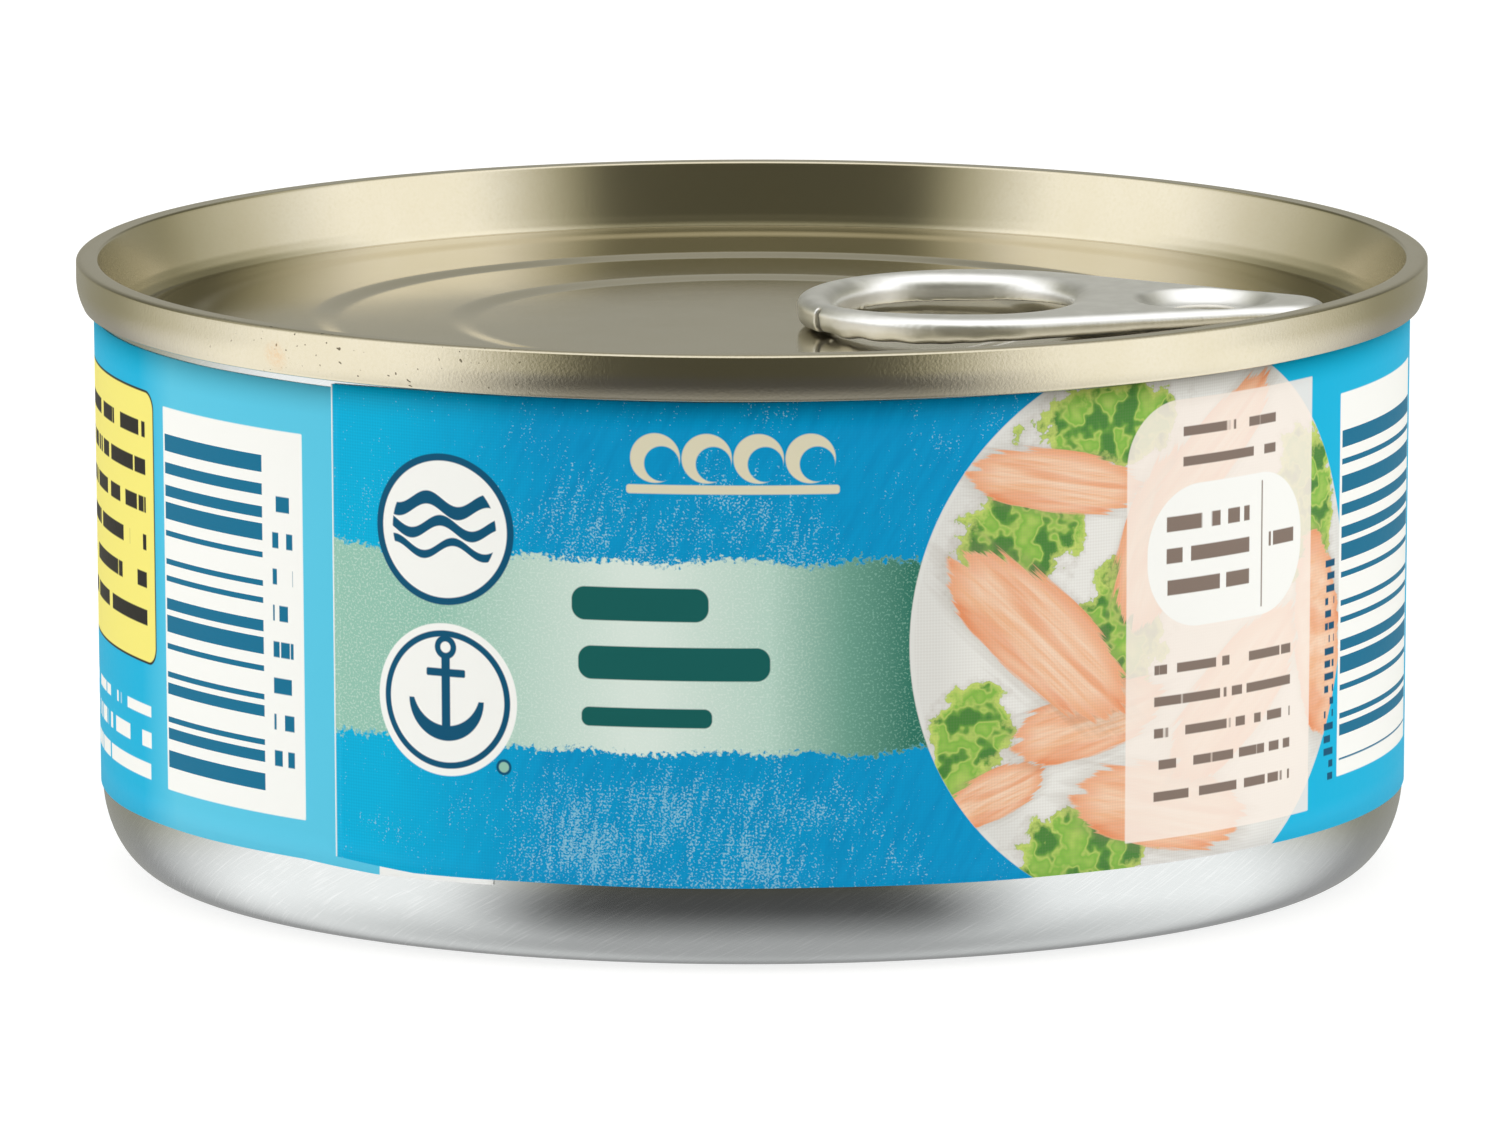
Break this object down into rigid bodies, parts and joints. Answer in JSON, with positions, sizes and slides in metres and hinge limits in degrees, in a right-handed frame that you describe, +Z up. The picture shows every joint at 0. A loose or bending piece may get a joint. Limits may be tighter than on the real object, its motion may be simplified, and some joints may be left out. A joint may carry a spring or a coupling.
{
  "type": "tuna can",
  "caption": "Shallow round two-piece food can with a rolled seam, a stepped end with a pull tab, a rounded bare base and a wrapped paper label.",
  "frame": {"origin": "centre of the base, on the plane the can stands on", "axes": "+Z up along the can's axis, the middle of the label's front faces -Y, +X to the right seen from the front"},
  "size_m": [0.086, 0.086, 0.039],
  "materials": {
    "bare_metal": "satin drawn tinplate with fine scratches",
    "gold_end": "satin pale gold lacquer on metal",
    "tab_metal": "satin stamped aluminium",
    "label_paper": "printed coated paper, slight sheen"
  },
  "bodies": {
    "root": {"can_body": "bare_metal", "can_end": "gold_end", "pull_tab": "tab_metal", "label": "label_paper"}
  },
  "joints": []
}
